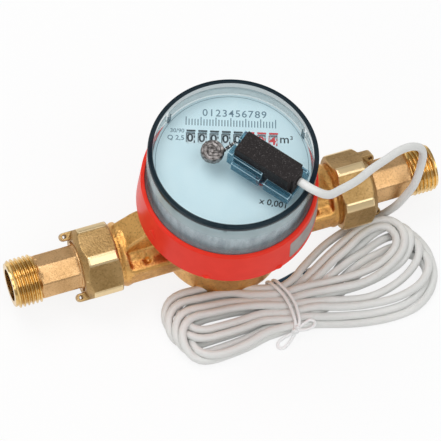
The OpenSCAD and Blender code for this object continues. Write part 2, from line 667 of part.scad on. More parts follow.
// Cable: the free stretch, the tied hank that lies in front, and the tie round its waist
module cable_lead() color("gainsboro") tube(curve(lead_points, lead_steps), cable_d, lead_sides);
module cable_hank() color("gainsboro") linear_extrude(hank_h) polygon(concat(
    arc(hank_left, hank_left_r, 80, 280, 16),
    [for (s = [-1, 1]) [hank_waist_x + s * tie_w, hank_waist_y[0]]],
    arc(hank_right, hank_right_r, 250, 480, 20),
    [for (s = [1, -1]) [hank_waist_x + s * tie_w, hank_waist_y[1]]]));
module cable_tie() {
    inner = hank_waist_y + [-seat_gap, seat_gap];
    inner_top = hank_h + seat_gap;
    color("white") across_x(hank_waist_x - tie_w / 2, hank_waist_x + tie_w / 2) difference() {
        translate([inner[0] - tie_t, 0]) square([inner[1] - inner[0] + 2 * tie_t, inner_top + tie_t]);
        translate([inner[0], -1]) square([inner[1] - inner[0], inner_top + 1]);
    }
}

meter_body();
inlet_strainer();
pivot_pin();
impeller();
drive_magnet();
chamber_cover();
cover_seal();
inlet_gasket();
outlet_gasket();
inlet_tailpiece();
outlet_tailpiece();
inlet_nut();
outlet_nut();
collar();
clear_cover();
movement_case();
movement_plate();
dial_plate();
drum_axle();
carry_axle();
carry_pinions();
follower();
wheel_one();
wheel_two();
pulse_wheel();
drum_worm();
pulse_pointer();
drum(1);  // drum_1
drum(2);  // drum_2
drum(3);  // drum_3
drum(4);  // drum_4
drum(5);  // drum_5
drum(6);  // drum_6
drum(7);  // drum_7
drum(8);  // drum_8
sensor_cradle();
pulse_sensor();
lead_seal();
seal_wire();
cable_lead();
cable_hank();
cable_tie();
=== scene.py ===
# A household water meter: brass body with two pipe unions, a sealed counter under a clear cover,
# and a pulse sensor whose grey cable lies in front as a tied hank. Metres, base at z 0, pipe along X.
from math import cos, hypot, pi, radians, sin, sqrt
import bmesh
import bpy
import numpy as np
from mathutils import Matrix, Vector


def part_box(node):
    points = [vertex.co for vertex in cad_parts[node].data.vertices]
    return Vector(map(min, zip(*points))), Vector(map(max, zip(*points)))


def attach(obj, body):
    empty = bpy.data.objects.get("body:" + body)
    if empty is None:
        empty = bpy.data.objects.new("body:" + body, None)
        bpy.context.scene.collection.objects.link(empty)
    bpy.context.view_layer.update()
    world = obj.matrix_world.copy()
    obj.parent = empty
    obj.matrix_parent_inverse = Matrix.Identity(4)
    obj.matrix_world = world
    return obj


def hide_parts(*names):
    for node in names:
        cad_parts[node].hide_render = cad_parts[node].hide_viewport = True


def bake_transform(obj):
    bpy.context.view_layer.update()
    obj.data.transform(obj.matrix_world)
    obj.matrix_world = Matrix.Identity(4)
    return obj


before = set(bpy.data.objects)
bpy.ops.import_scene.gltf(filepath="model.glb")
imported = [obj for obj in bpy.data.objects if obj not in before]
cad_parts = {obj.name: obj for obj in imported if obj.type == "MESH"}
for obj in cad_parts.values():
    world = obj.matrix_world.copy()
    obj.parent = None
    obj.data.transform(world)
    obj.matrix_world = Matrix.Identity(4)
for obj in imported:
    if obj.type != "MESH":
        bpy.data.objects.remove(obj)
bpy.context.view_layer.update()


# The table and the light: a white matte table top under soft lamps, one behind the meter, one in front of
# it and a weak one on the left. The camera looks down on the dial from the front left, through a long lens.
class Field:
    """A shader socket that takes part in sums. node() adds any node: type, settings, then sockets."""

    def __init__(self, tree, socket=None):
        self.tree, self.socket = tree, socket

    def node(self, kind, settings=None, sockets=None, out=0):
        made = self.tree.nodes.new("ShaderNode" + kind)
        for name, value in (settings or {}).items():
            setattr(made, name, value)
        for name, value in (sockets or {}).items():
            if isinstance(value, Field):
                self.tree.links.new(value.socket, made.inputs[name])
            elif isinstance(value, tuple) and len(value) == 3 and made.inputs[name].type == "RGBA":
                made.inputs[name].default_value = (*value, 1)
            else:
                made.inputs[name].default_value = value
        return Field(self.tree, made.outputs[out] if made.outputs else None)

    def sum(self, operation, *values):
        """One Math node on the values."""
        return self.node("Math", {"operation": operation}, dict(enumerate(values)))

    def __add__(self, other):
        return self.sum("ADD", self, other)

    def __sub__(self, other):
        return self.sum("SUBTRACT", self, other)

    def __rsub__(self, other):
        return self.sum("SUBTRACT", other, self)

    def __mul__(self, other):
        return self.sum("MULTIPLY", self, other)

    __radd__, __rmul__ = __add__, __mul__

    def over(self, other):
        """The larger of two values."""
        return self.sum("MAXIMUM", self, other)

    def step(self, low, high):
        """0 below low, 1 above high, smooth between."""
        return self.node("MapRange", {"interpolation_type": "SMOOTHSTEP"}, {0: self, 1: low, 2: high})

    def tint(self, low, high):
        """A colour from low at 0 to high at 1."""
        return self.node("Mix", {"data_type": "RGBA"}, {0: self, 6: low, 7: high}, 2)


def new_finish(name):
    """A material with an empty tree, and the Field that its nodes start from."""
    material = bpy.data.materials.new(name)
    material.use_nodes = True
    material.node_tree.nodes.clear()
    return material, Field(material.node_tree)


def show(start, shader):
    """Ends a material's tree with its shader."""
    start.node("OutputMaterial", {}, {"Surface": shader})


mm = 0.001
table_half, table_drop, white_share = 4.0, 0.3 * mm, 0.85
table_finish, start = new_finish("table_white")
seen = start.node("LightPath", out="Is Camera Ray")
seen = seen.over(start.node("LightPath", out="Is Glossy Ray"))
seen = seen.over(start.node("LightPath", out="Is Transmission Ray"))
matte = start.node("BsdfDiffuse", {}, {"Color": (0.90, 0.90, 0.90)})
white = start.node("Emission", {}, {"Color": (1, 1, 1), "Strength": 1.0})
show(start, start.node("MixShader", {}, {0: seen * white_share, 1: matte, 2: white}))
bm = bmesh.new()
bmesh.ops.create_grid(bm, x_segments=2, y_segments=2, size=table_half)
bmesh.ops.translate(bm, vec=(0, 0, -table_drop), verts=bm.verts)
table = bpy.data.objects.new("table", bpy.data.meshes.new("table"))
bm.to_mesh(table.data)
bm.free()
table.data.materials.append(table_finish)
bpy.context.collection.objects.link(table)

scene = bpy.context.scene
scene.view_settings.view_transform = "Standard"
scene.world = bpy.data.worlds.new("soft_room")
scene.world.use_nodes = True
room = scene.world.node_tree.nodes["Background"].inputs
room["Color"].default_value = (1, 1, 1, 1)
room["Strength"].default_value = 0.42
lit_point = Vector((0, 0, 0.04))
for name, at, size, watts in (("behind", (-0.25, 0.35, 1.0), 0.7, 4.6),
                              ("front", (0.25, -0.50, 1.05), 0.9, 4.3),
                              ("left", (-1.0, -0.3, 0.6), 0.6, 1.4)):
    lamp = bpy.data.lights.new(name, "AREA")
    lamp.size, lamp.energy = size, watts
    holder = bpy.data.objects.new(name, lamp)
    holder.location = at
    holder.rotation_euler = (lit_point - Vector(at)).to_track_quat("-Z", "Y").to_euler()
    bpy.context.collection.objects.link(holder)

right = Vector((0.9404, -0.3337, 0.0651))
up = Vector((0.2662, 0.8418, 0.4696))
back = right.cross(up).normalized()
facing = Matrix((right, up, back)).transposed().to_4x4()
aim_left, aim_up, camera_far = 0.00123, 0.00174, 1.19
aim = Vector((0, 0, 0.018)) - aim_left * right + aim_up * up
camera = bpy.data.objects.new("camera", bpy.data.cameras.new("camera"))
camera.data.lens, camera.data.sensor_width = 228.6, 36.0
camera.data.clip_start, camera.data.clip_end = 0.05, 20.0
camera.matrix_world = Matrix.Translation(aim + camera_far * back) @ facing
bpy.context.collection.objects.link(camera)
scene.camera = camera


# The body: one sand-cast brass piece, blasted to an even grain, with rounded edges everywhere that the
# mould left them. The spigots for the unions are part of the casting.
def noise(start, scale, detail=3.0, stretch=(1, 1, 1)):
    """A grey noise on the object's own coordinates; scale is in ripples to the metre."""
    place = start.node("TexCoord", out="Object")
    place = start.node("Mapping", {}, {"Vector": place, "Scale": stretch})
    return start.node("TexNoise", {}, {"Vector": place, "Scale": scale, "Detail": detail})


def reach(start, foot_haze_and_light, across):
    """How far a point lies from the line through foot; across is 1 on the two axes square to the line."""
    place = start.node("TexCoord", out="Object")
    place = start.node("VectorMath", {"operation": "SUBTRACT"}, {0: place, 1: foot_haze_and_light})
    place = start.node("VectorMath", {"operation": "MULTIPLY"}, {0: place, 1: across})
    return start.node("VectorMath", {"operation": "LENGTH"}, {0: place}, "Value")


def brass(name, bright, dark, rough, grain, grain_depth, edge=0.0, filed=None):
    """Bare brass: its colour drifts, edges are rubbed, a fine grain stands up; filed masks bright strips."""
    material, start = new_finish(name)
    colour = noise(start, 90, 4).step(0.35, 0.68).tint(dark, bright)
    specks = noise(start, grain, 2)
    colour = (specks.step(0.5, 0.7) * 0.5).tint(colour, bright)
    colour = ((1 - specks.step(0.30, 0.46)) * 0.5).tint(colour, tuple(c * 0.6 for c in dark))
    dullness = rough + noise(start, 400) * 0.14 - 0.07
    if edge:
        rubbed_brass = (0.95, 0.70, 0.36)
        rubbed = start.node("NewGeometry", out="Pointiness").step(0.51, 0.56) * edge
        colour = rubbed.tint(colour, rubbed_brass)
    if filed:
        filed_brass = (0.92, 0.72, 0.42)
        strip = filed(start)
        colour = (strip * 0.85).tint(colour, filed_brass)
        dullness = dullness - strip * 0.12
        specks = specks * (1 - strip)
    bump = start.node("Bump", {}, {"Strength": 0.5, "Distance": grain_depth, "Height": specks})
    show(start, start.node("BsdfPrincipled", {}, {
        "Base Color": colour, "Metallic": 1.0, "Roughness": dullness, "Normal": bump}))
    return material


def finished(name, bm, body, material, stands_for=(), voxel=0.0, rounds=0):
    """Makes the object from a bmesh, with its body and finish; voxel and rounds soften its edges."""
    piece = bpy.data.objects.new(name, bpy.data.meshes.new(name))
    bm.to_mesh(piece.data)
    bm.free()
    bpy.context.collection.objects.link(piece)
    piece.data.materials.append(material)
    piece.data.polygons.foreach_set("use_smooth", [True] * len(piece.data.polygons))
    if voxel:
        skin = piece.modifiers.new("skin", "REMESH")
        skin.mode, skin.voxel_size, skin.use_smooth_shade = "VOXEL", voxel, True
    if rounds:
        rounding = piece.modifiers.new("rounding", "SMOOTH")
        rounding.factor, rounding.iterations = 0.5, rounds
    if body:
        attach(piece, body)
    if stands_for:
        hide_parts(*stands_for)
    return piece


def copied(node):
    """A merged copy of a CAD solid's mesh."""
    bm = bmesh.new()
    bm.from_mesh(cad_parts[node].data)
    bmesh.ops.remove_doubles(bm, verts=bm.verts, dist=0.001 * mm)
    return bm


def dress(material, *names):
    """Gives CAD solids that stay in view their finish."""
    for name in names:
        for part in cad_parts[name].material_slots:
            part.material = material


cast_brass = brass("cast_brass", (0.84, 0.48, 0.155), (0.60, 0.30, 0.08), rough=0.40, grain=1000,
                   grain_depth=0.4 * mm, edge=0.35)
finished("casting", copied("meter_body"), "root", cast_brass, ("meter_body",),
         voxel=0.63 * mm, rounds=5)


# The works in the water: strainer, pivot, bladed wheel and ring magnet, closed by a brass pressure plate
# on a rubber ring. Strainer and wheel are moulded plastic, the pin drawn steel, the magnet bonded ferrite.
def moulded(name, colour, shade, rough, grain=2500, depth=0.2 * mm, shine=0.5):
    """Moulded plastic or rubber: a slight cloudiness and a fine mould grain."""
    material, start = new_finish(name)
    cloud = noise(start, 140).step(0.35, 0.7)
    show(start, start.node("BsdfPrincipled", {}, {
        "Base Color": cloud.tint(shade, colour), "Roughness": rough + noise(start, 500, 2) * 0.1 - 0.05,
        "Specular IOR Level": shine,
        "Normal": start.node("Bump", {}, {
            "Strength": 0.3, "Distance": depth, "Height": noise(start, grain, 2)})}))
    return material


def bare_metal(name, colour, shade, rough, stretch=(1, 1, 1)):
    """Drawn or turned metal with fine lines along one direction."""
    material, start = new_finish(name)
    lines = noise(start, 1500, 3, stretch)
    show(start, start.node("BsdfPrincipled", {}, {
        "Base Color": lines.step(0.3, 0.7).tint(shade, colour), "Metallic": 1.0,
        "Roughness": rough + lines * 0.2 - 0.1,
        "Normal": start.node("Bump", {}, {"Strength": 0.2, "Distance": 0.1 * mm, "Height": lines})}))
    return material


works_plastic = moulded("works_plastic", (0.84, 0.84, 0.80), (0.76, 0.75, 0.70), rough=0.42)
pin_steel = bare_metal("pin_steel", (0.70, 0.70, 0.71), (0.52, 0.52, 0.54), rough=0.28, stretch=(1, 1, 8))
ferrite = moulded("ferrite", (0.060, 0.060, 0.065), (0.035, 0.035, 0.038), rough=0.5)
seal_rubber = moulded("seal_rubber", (0.035, 0.035, 0.036), (0.020, 0.020, 0.021), rough=0.62)
dress(works_plastic, "inlet_strainer", "impeller")
dress(pin_steel, "pivot_pin")
dress(ferrite, "drive_magnet")
dress(seal_rubber, "cover_seal")
dress(cast_brass, "chamber_cover")


# The unions: on each end a hot-pressed brass nut with filed corners, and a tailpiece with an eight-sided
# grip and a G 1/2 thread that was cut on a lathe. A rubber gasket lies between.
pipe_z, filed_r = 18 * mm, (16.1 * mm, 16.3 * mm)


def filed_corners(start):
    """The mask of a nut's corners, by their distance from the pipe's axis."""
    return reach(start, (0, 0, pipe_z), (0, 1, 1)).step(*filed_r)


nut_brass = brass("nut_brass", (0.54, 0.35, 0.15), (0.40, 0.25, 0.095), rough=0.47, grain=1100,
                  grain_depth=0.3 * mm, edge=0.5, filed=filed_corners)
tail_brass = brass("tail_brass", (0.78, 0.49, 0.24), (0.60, 0.36, 0.16), rough=0.40, grain=1500,
                   grain_depth=0.2 * mm, edge=0.35)
turned_brass = brass("turned_brass", (0.88, 0.61, 0.25), (0.64, 0.40, 0.13), rough=0.20, grain=900,
                     grain_depth=0.05 * mm)
pitch, thread_r, thread_depth, crest_drop = 1.8143 * mm, 10.4775 * mm, 1.162 * mm, 0.06 * mm
thread_start, thread_end, runout_r, neck_r = 83.5 * mm, 95.0 * mm, 8.6 * mm, 8.8 * mm
chamfer_x, chamfer_slope, bore_r, bore_depth = 93.4 * mm, 0.75, 6.95 * mm, 9 * mm
sleeve_end, sharp_from = 93 * mm, radians(35)
dress(seal_rubber, "inlet_gasket", "outlet_gasket")


def pull_in(v, radius):
    """Moves a point towards the pipe axis until it lies at radius."""
    scale = radius / hypot(v.co.y, v.co.z - pipe_z)
    v.co.y, v.co.z = v.co.y * scale, pipe_z + (v.co.z - pipe_z) * scale


def pipe_thread(name, half_turn):
    """The helical thread of one tailpiece, from its run-out to the mouth of the bore."""
    bm = bmesh.new()
    root_r, crest_r = thread_r - thread_depth, thread_r - crest_drop
    tooth = ((0, root_r), (0.08, root_r), (0.41, crest_r), (0.46, thread_r),
             (0.54, thread_r), (0.59, crest_r), (0.92, root_r), (1, root_r))
    turns, steps = 10, 72
    ring = [bm.verts.new((thread_start + (at - 2) * pitch, 0, pipe_z + r)) for at, r in tooth]
    line = [bm.edges.new(pair) for pair in zip(ring, ring[1:])]
    bmesh.ops.spin(bm, geom=ring + line, cent=(0, 0, pipe_z), axis=(1, 0, 0), dvec=(pitch / steps, 0, 0),
                   angle=2 * pi * turns, steps=turns * steps)
    bmesh.ops.remove_doubles(bm, verts=bm.verts, dist=0.004 * mm)
    for at, inner in ((thread_start, True), (thread_end, False)):
        bmesh.ops.bisect_plane(bm, geom=bm.verts[:] + bm.edges[:] + bm.faces[:], plane_co=(at, 0, 0),
                               plane_no=(1, 0, 0), clear_inner=inner, clear_outer=not inner)
    for v in bm.verts:
        most = thread_r - max(0.0, v.co.x - chamfer_x) * chamfer_slope
        if hypot(v.co.y, v.co.z - pipe_z) > most:
            pull_in(v, most)
    for at, radius, inward in ((thread_start, runout_r, (0,)), (thread_end, bore_r, (0, bore_depth))):
        rim = [e for e in bm.edges if e.is_boundary and all(abs(v.co.x - at) < 0.01 * mm for v in e.verts)]
        for depth in inward:
            made = bmesh.ops.extrude_edge_only(bm, edges=rim)["geom"]
            rim = [g for g in made if isinstance(g, bmesh.types.BMEdge)]
            for v in {v for e in rim for v in e.verts}:
                pull_in(v, radius)
                v.co.x = at - depth
    bmesh.ops.rotate(bm, cent=(0, 0, 0), matrix=Matrix.Rotation(half_turn, 3, "Z"), verts=bm.verts)
    bmesh.ops.recalc_face_normals(bm, faces=bm.faces)
    piece = finished(name, bm, "root", turned_brass)
    piece.data.set_sharp_from_angle(angle=sharp_from)


for end, side, half_turn in (("inlet", -1, pi), ("outlet", 1, 0.0)):
    finished(end + "_union_nut", copied(end + "_nut"), end + "_nut", nut_brass, (end + "_nut",),
             voxel=0.35 * mm, rounds=3)
    bm = copied(end + "_tailpiece")
    for v in bm.verts:
        if abs(v.co.x) > thread_start - 0.1 * mm and hypot(v.co.y, v.co.z - pipe_z) > neck_r:
            pull_in(v, neck_r)
        if abs(v.co.x) > sleeve_end:
            v.co.x = side * sleeve_end
    finished(end + "_tail", bm, "root", tail_brass, (end + "_tailpiece",),
             voxel=0.4 * mm, rounds=3)
    pipe_thread(end + "_thread", half_turn)


# The collar: a red snap ring that clamps the cover's foot down on the body's flange. It carries a plain
# grey label on the right, a moulded arrow head on the left and two small pry bumps at its lower edge.
collar_red = moulded("collar_red", (0.90, 0.046, 0.026), (0.86, 0.040, 0.022), rough=0.30, grain=900,
                     depth=0.05 * mm, shine=0.08)
label_grey = moulded("label_grey", (0.40, 0.36, 0.34), (0.33, 0.29, 0.275), rough=0.5, grain=1600)
dress(collar_red, "collar")
collar_r, collar_foot, collar_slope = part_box("collar")[1].x, 40.1 * mm, 1.1 / 17.2


def wrapped(bm, turn, sunk):
    """Lays a flat patch (x along, y up, z outwards) on the collar's tapered wall, facing turn."""
    for v in bm.verts:
        along, height, out = v.co
        radius = collar_r - max(0.0, height - collar_foot) * collar_slope - sunk + out
        angle = turn + along / collar_r
        v.co = (radius * cos(angle), radius * sin(angle), height)
    bmesh.ops.recalc_face_normals(bm, faces=bm.faces)


def thickened(bm, thickness):
    """Raises a flat patch to a plate."""
    top = bmesh.ops.extrude_face_region(bm, geom=bm.faces[:])["geom"]
    raised = [g for g in top if isinstance(g, bmesh.types.BMVert)]
    bmesh.ops.translate(bm, vec=(0, 0, thickness), verts=raised)


label_w, label_h, label_t, label_z, label_turn = 33 * mm, 11 * mm, 0.12 * mm, 48.6 * mm, radians(-42)
bm = bmesh.new()
bmesh.ops.create_grid(bm, x_segments=32, y_segments=6, size=0.5)
bmesh.ops.scale(bm, vec=(label_w, label_h, 1), verts=bm.verts)
corners = [v for v in bm.verts if len(v.link_edges) == 2]
bmesh.ops.bevel(bm, geom=corners, offset=1.0 * mm, segments=4, profile=0.5, affect="VERTICES", material=-1)
bmesh.ops.translate(bm, vec=(0, label_z, 0), verts=bm.verts)
thickened(bm, label_t)
wrapped(bm, label_turn, sunk=0.04 * mm)
finished("collar_label", bm, "root", label_grey)

arrow_r, arrow_t, arrow_z, arrow_turn = 2.6 * mm, 0.45 * mm, 47.5 * mm, radians(-166)
bm = bmesh.new()
bmesh.ops.create_circle(bm, cap_ends=True, segments=3, radius=arrow_r)
thickened(bm, arrow_t)
bmesh.ops.bevel(bm, geom=bm.edges[:], offset=0.2 * mm, segments=2, profile=0.5, affect="EDGES", material=-1)
bmesh.ops.translate(bm, vec=(0, arrow_z, 0), verts=bm.verts)
wrapped(bm, arrow_turn, sunk=0.15 * mm)
finished("collar_arrow", bm, "root", collar_red)

bump_r, bump_z, bump_shape = 1.0 * mm, 41.3 * mm, (1.9, 0.8, 1.1)
for name, turn in (("left", -123), ("right", -75)):
    bm = bmesh.new()
    bmesh.ops.create_uvsphere(bm, u_segments=20, v_segments=12, radius=bump_r)
    bmesh.ops.scale(bm, vec=bump_shape, verts=bm.verts)
    bmesh.ops.translate(bm, vec=(0, bump_z, 0), verts=bm.verts)
    wrapped(bm, radians(turn), sunk=0.3 * mm)
    finished("pry_bump_" + name, bm, "root", collar_red)


# The movement: a pale moulded cup with a punched plate, and a printed dial with a window for each drum.
# Drums and gears turn on steel axles under the dial, and each drum carries ten figures and a row of marks.
def printed(name, ink):
    """Screen-printed ink, a little uneven."""
    material, start = new_finish(name)
    patchy = noise(start, 1800).step(0.3, 0.75)
    show(start, start.node("BsdfPrincipled", {}, {
        "Base Color": patchy.tint(tuple(c * 1.3 + 0.01 for c in ink), ink), "Roughness": 0.55,
        "Normal": start.node("Bump", {}, {"Strength": 0.1, "Distance": 0.05 * mm, "Height": patchy})}))
    return material


case_grey, start = new_finish("case_grey")
streak = noise(start, 330, 4, (1, 1, 0.3)).step(0.34, 0.66)
show(start, start.node("BsdfPrincipled", {}, {
    "Base Color": streak.tint((0.46, 0.51, 0.54), (0.80, 0.84, 0.86)), "Roughness": 0.35 + 0.2 * streak}))
dial_face = moulded("dial_face", (0.80, 0.91, 0.95), (0.77, 0.89, 0.935), rough=0.45, grain=3000,
                    depth=0.05 * mm)
plate_metal = bare_metal("plate_metal", (0.78, 0.79, 0.80), (0.66, 0.67, 0.68), rough=0.32,
                         stretch=(1, 10, 1))
drum_white = moulded("drum_white", (0.84, 0.89, 0.92), (0.79, 0.84, 0.87), rough=0.4)
pointer_red = moulded("pointer_red", (0.66, 0.05, 0.04), (0.56, 0.04, 0.03), rough=0.35)
ink_black = printed("ink_black", (0.012, 0.018, 0.026))
ink_red = printed("ink_red", (0.66, 0.025, 0.03))
ink_grey = printed("ink_grey", (0.13, 0.20, 0.25))
drums = ["drum_%d" % n for n in range(1, 9)]
dress(works_plastic, "carry_pinions", "wheel_one", "wheel_two", "pulse_wheel", "drum_worm")
dress(pin_steel, "drum_axle", "carry_axle")
dress(ferrite, "follower")
dress(case_grey, "movement_case")
dress(plate_metal, "movement_plate")
dress(dial_face, "dial_plate")
dress(drum_white, *drums)
dress(pointer_red, "pulse_pointer")

dial_turn, dial_top = radians(-20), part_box("dial_plate")[1].z
drum_r, drum_axis = 7.6 * mm, Vector((3.89903, 10.7125, 62.6)) * mm
window_w, window_l, drum_pitch, window_y = 3.4 * mm, 5.6 * mm, 4.85 * mm, 11.4 * mm
print_lift, cap_share = 0.03 * mm, 0.69


def as_bmesh(holder):
    """The mesh of a text or curve object as a bmesh; the object goes."""
    bpy.context.collection.objects.link(holder)
    made = bpy.data.meshes.new_from_object(holder.evaluated_get(bpy.context.evaluated_depsgraph_get()))
    bm = bmesh.new()
    bm.from_mesh(made)
    source = holder.data
    bpy.data.objects.remove(holder)
    bpy.data.curves.remove(source)
    bpy.data.meshes.remove(made)
    bmesh.ops.remove_doubles(bm, verts=bm.verts, dist=1e-7)
    return bm


def lettering(text, height, bold=0.03 * mm):
    """Figures of that height as a flat bmesh, centred on the origin."""
    words = bpy.data.curves.new("figure", "FONT")
    words.body, words.size, words.resolution_u, words.offset = text, height / cap_share, 4, bold
    bm = as_bmesh(bpy.data.objects.new("figure", words))
    xs, ys = [v.co.x for v in bm.verts], [v.co.y for v in bm.verts]
    bmesh.ops.translate(bm, vec=(-(min(xs) + max(xs)) / 2, -(min(ys) + max(ys)) / 2, 0), verts=bm.verts)
    return bm


def joined(*parts):
    """One bmesh from several."""
    whole = bmesh.new()
    for part in parts:
        loose = bpy.data.meshes.new("loose")
        part.to_mesh(loose)
        part.free()
        whole.from_mesh(loose)
        bpy.data.meshes.remove(loose)
    return whole


def on_dial(bm, x, y, turn=0.0):
    """Lays flat print on the dial at the dial's own x and y."""
    bmesh.ops.rotate(bm, cent=(0, 0, 0), matrix=Matrix.Rotation(turn, 3, "Z"), verts=bm.verts)
    bmesh.ops.translate(bm, vec=(x, y, dial_top + print_lift), verts=bm.verts)
    bmesh.ops.rotate(bm, cent=(0, 0, 0), matrix=Matrix.Rotation(dial_turn, 3, "Z"), verts=bm.verts)
    return bm


def bar(width, height):
    """A flat printed bar."""
    bm = bmesh.new()
    bmesh.ops.create_grid(bm, x_segments=1, y_segments=1, size=0.5)
    bmesh.ops.scale(bm, vec=(width, height, 1), verts=bm.verts)
    return bm


def round_drum(bm, lift, column, lean):
    """Bends flat print round a drum's rim; column is its place on the row, lean its angle."""
    for v in bm.verts:
        angle = v.co.y / drum_r + lean
        v.co = (v.co.x + column, (drum_r + lift) * sin(angle), (drum_r + lift) * cos(angle))
    return bm


def hoop(inner, outer, steps=96):
    """A flat printed ring."""
    bm = bmesh.new()
    ends = [bm.verts.new((r, 0, 0)) for r in (inner, outer)]
    bmesh.ops.spin(bm, geom=ends + [bm.edges.new(ends)], cent=(0, 0, 0), axis=(0, 0, 1), dvec=(0, 0, 0),
                   angle=2 * pi, steps=steps, use_merge=True)
    bmesh.ops.recalc_face_normals(bm, faces=bm.faces)
    return bm


reading = (0, 0, 0, 0, 0, 0, 0, 4)
whole_drums, view_lean, figure_step, cut_gap = 5, radians(5.5), radians(36), 0.4 * mm
beam_h, edge_shadow_w, border_r, border_w = 0.8 * mm, 0.3 * mm, 31.3 * mm, 0.2 * mm
black, red, grey = [], [], [on_dial(hoop(border_r, border_r + border_w), 0, 0)]
for i, (drum, shown) in enumerate(zip(drums, reading)):
    column = (i - 3.5) * drum_pitch
    tone = black if i < whole_drums else red
    tone.append(on_dial(bar(window_w + edge_shadow_w, beam_h), column, window_y + window_l / 2 + beam_h / 2))
    # Painted shadow: the thin bar at each window's left edge stands for the shadow of that edge, in the
    # drum's ink.
    tone.append(on_dial(bar(edge_shadow_w, 0.8 * window_l), column - window_w / 2 - 0.18 * mm, window_y))
    band = []
    for figure in range(10):
        digit = lettering(str(figure), height=3.8 * mm, bold=0.12 * mm)
        for cut in range(-5, 6):
            bmesh.ops.bisect_plane(digit, geom=digit.verts[:] + digit.edges[:] + digit.faces[:],
                                   plane_co=(0, cut * cut_gap, 0), plane_no=(0, 1, 0))
        lean = figure_step * (figure - shown) + view_lean
        band.append(round_drum(digit, 0.02 * mm, column - 0.25 * mm, lean))
    for mark in range(20):
        tick = bar(width=0.5 * mm, height=1.1 * mm)
        band.append(round_drum(tick, 0.03 * mm, column + 1.5 * mm, figure_step / 2 * (mark + 0.5)))
    bm = joined(*band)
    bmesh.ops.rotate(bm, cent=(0, 0, 0), matrix=Matrix.Rotation(dial_turn, 3, "Z"), verts=bm.verts)
    bmesh.ops.translate(bm, vec=drum_axis, verts=bm.verts)
    finished("figures_%d" % (i + 1), bm, drum, ink_black if i < whole_drums else ink_red)
black += [on_dial(lettering("m", 3.7 * mm, 0.06 * mm), 21.5 * mm, window_y + 0.2 * mm),
          on_dial(lettering("3", 1.7 * mm, 0.06 * mm), 24.4 * mm, window_y + 1.5 * mm),
          on_dial(lettering("x 0,001", 2.7 * mm, 0.07 * mm), 16.6 * mm, -18.0 * mm, radians(-10))]
scale_figure_gap, scale_figure_y = 2.7 * mm, 23.4 * mm
scale_gap, scale_foot, long_mark, short_mark, mark_w = 1.23 * mm, 17.2 * mm, 4.0 * mm, 3.0 * mm, 0.42 * mm
for figure in range(10):
    across = (figure - 4.5) * scale_figure_gap + 0.9 * mm
    grey.append(on_dial(lettering(str(figure), 3.2 * mm, 0.04 * mm), across, scale_figure_y))
for k in range(31):
    length = long_mark if k % 5 == 0 else short_mark
    across = (k - 15) * scale_gap - 0.6 * mm
    grey.append(on_dial(bar(mark_w, length), across, scale_foot + length / 2))
grey.append(on_dial(lettering("Q 2,5", 2.1 * mm, 0.05 * mm), -23.2 * mm, window_y - 0.5 * mm))
grey.append(on_dial(lettering("30/90", 1.8 * mm), -22.6 * mm, window_y + 3.0 * mm))
# The black and red prints also carry the painted shadows at the windows' left edges.
finished("print_and_shadow_black", joined(*black), "register", ink_black)
finished("print_and_shadow_red", joined(*red), "register", ink_red)
finished("print_grey", joined(*grey), "register", ink_grey)


# The cover: one clear moulded cup, pressed down by the collar. Its raised rim is painted near black, as
# painted shade for the light that runs away inside it. Its wall over the dial is painted grey, a painted
# reflection, with ribs in painted blue-black shade, and its foot is hazy: partly the plastic's milkiness,
# partly painted light that lifts the shade by the collar.
def clear(name, tint, haze, haze_colour, rough, shine):
    """Clear plastic: a tinted see-through skin; haze is how much of its own colour shows, from 0 to 1,
    and it also carries painted shade, reflection and highlights.
    """
    material, start = new_finish(name)
    through = start.node("BsdfTransparent", {}, {"Color": tint})
    gloss = start.node("LayerWeight", {}, {"Blend": 0.35}, out="Fresnel") * 0.3
    skin = start.node("BsdfPrincipled", {}, {
        "Base Color": haze_colour(start), "Roughness": rough, "IOR": 1.5, "Specular IOR Level": shine})
    show(start, start.node("MixShader", {}, {0: gloss.over(haze(start)), 1: through, 2: skin}))
    return material


def cover_place(start):
    """A point's distance from the cover's axis, its height, and the mask of the whole outer wall."""
    radius = reach(start, (0, 0, 0), (1, 1, 0))
    height = start.node("SeparateXYZ", {}, {0: start.node("TexCoord", out="Object")}, "Z")
    return radius, height, radius.step(32.6 * mm, 32.8 * mm)


def cover_zones(start):
    """Masks of the cover's rim, its wall over the dial and its ribs, where shade and reflection are painted.
    """
    radius, height, wall = cover_place(start)
    over_dial = height.step(71.2 * mm, 71.8 * mm)
    under_window = 1 - height.step(76.4 * mm, 76.8 * mm)
    under_rim = 1 - height.step(77.6 * mm, 78.2 * mm)
    rim = radius.step(32.7 * mm, 33.0 * mm) * height.step(77.4 * mm, 78.6 * mm)
    rib_shade = radius.step(31.2 * mm, 31.5 * mm) * (1 - radius.step(32.1 * mm, 32.4 * mm))
    return rim, wall * over_dial * under_rim, rib_shade * over_dial * under_window


def cover_haze(start):
    """How much of its own colour each zone shows: painted shade on rim and ribs, a painted reflection
    over the dial, and at the foot haze with painted light, which fades upwards.
    """
    rim, dial_wall_reflection, rib_shade = cover_zones(start)
    _, height, wall = cover_place(start)
    # Painted light: the haze at the foot, partly the plastic's milkiness, lifts the shade by the collar and
    # fades upwards.
    foot_haze_and_light = wall * (0.34 - 0.24 * height.step(58 * mm, 64 * mm))
    # Rim and ribs show their painted shade nearly opaque, and the wall over the dial shows its painted
    # reflection at half.
    return (rim * 0.98).over(dial_wall_reflection * 0.55).over(rib_shade * 0.85).over(foot_haze_and_light).over(0.03)


